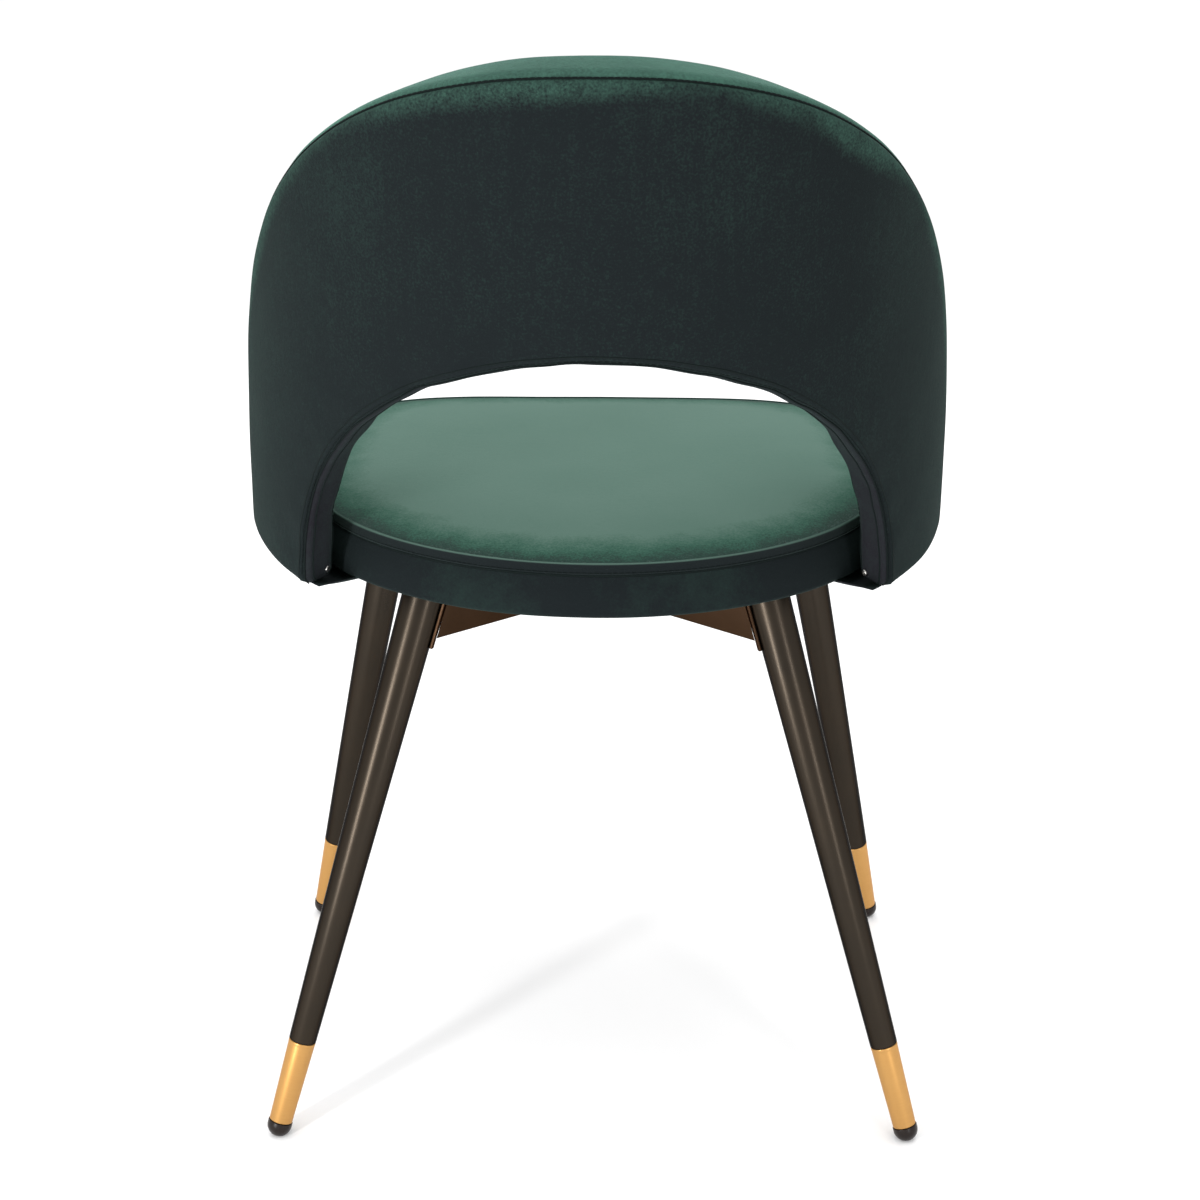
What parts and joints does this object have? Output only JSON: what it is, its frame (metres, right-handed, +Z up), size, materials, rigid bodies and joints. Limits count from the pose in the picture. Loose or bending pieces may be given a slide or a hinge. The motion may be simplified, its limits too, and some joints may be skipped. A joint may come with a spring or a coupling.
{
  "type": "dining chair",
  "caption": "Dining chair: velvet seat, wrap-round velvet back with an arched cut-out above the seat, slim tapered black metal legs with brass ferrules.",
  "frame": {"origin": "on the floor, under the centre of the chair's own box", "axes": "+Z up; -Y is the way a sitter faces; +X is the sitter's left"},
  "size_m": [0.5064, 0.5462, 0.8117],
  "materials": {
    "velvet": "dark green cut velvet with a soft sheen",
    "foam": "open-cell foam, hidden",
    "plywood": "sanded plywood, hidden",
    "lining": "black non-woven lining under the seat",
    "black_steel": "satin dark bronze-black powder coat",
    "gold": "satin brass-plated ferrules",
    "black_plastic": "smooth black glides",
    "zinc": "bright zinc-plated fasteners"
  },
  "bodies": {
    "root": {"back_bottom_panel_left": "velvet", "back_bottom_panel_right": "velvet", "back_bracket_left": "black_steel", "back_bracket_right": "black_steel", "back_inner_foam": "foam", "back_inner_panel": "velvet", "back_opening_edge_band": "velvet", "back_outer_foam": "foam", "back_outer_panel": "velvet", "back_plywood_shell": "plywood", "back_top_edge_band": "velvet", "bracket_back_screw_left_a": "zinc", "bracket_back_screw_left_b": "zinc", "bracket_back_screw_right_a": "zinc", "bracket_back_screw_right_b": "zinc", "bracket_seat_screw_left_a": "zinc", "bracket_seat_screw_left_b": "zinc", "bracket_seat_screw_right_a": "zinc", "bracket_seat_screw_right_b": "zinc", "cross_rail_long": "black_steel", "cross_rail_short_front": "black_steel", "cross_rail_short_rear": "black_steel", "ferrule_front_left": "gold", "ferrule_front_right": "gold", "ferrule_rear_left": "gold", "ferrule_rear_right": "gold", "glide_front_left": "black_plastic", "glide_front_right": "black_plastic", "glide_rear_left": "black_plastic", "glide_rear_right": "black_plastic", "leg_bolt_front_left_1": "zinc", "leg_bolt_front_left_2": "zinc", "leg_bolt_front_right_1": "zinc", "leg_bolt_front_right_2": "zinc", "leg_bolt_rear_left_1": "zinc", "leg_bolt_rear_left_2": "zinc", "leg_bolt_rear_right_1": "zinc", "leg_bolt_rear_right_2": "zinc", "leg_saddle_front_left": "black_steel", "leg_saddle_front_right": "black_steel", "leg_saddle_rear_left": "black_steel", "leg_saddle_rear_right": "black_steel", "leg_tube_front_left": "black_steel", "leg_tube_front_right": "black_steel", "leg_tube_rear_left": "black_steel", "leg_tube_rear_right": "black_steel", "seat_board": "plywood", "seat_bolt_front_left": "zinc", "seat_bolt_front_right": "zinc", "seat_bolt_rear_left": "zinc", "seat_bolt_rear_right": "zinc", "seat_dust_cover": "lining", "seat_foam": "foam", "seat_side_band": "velvet", "seat_top_panel": "velvet", "t_nut_front_left": "zinc", "t_nut_front_right": "zinc", "t_nut_rear_left": "zinc", "t_nut_rear_right": "zinc"}
  },
  "joints": []
}
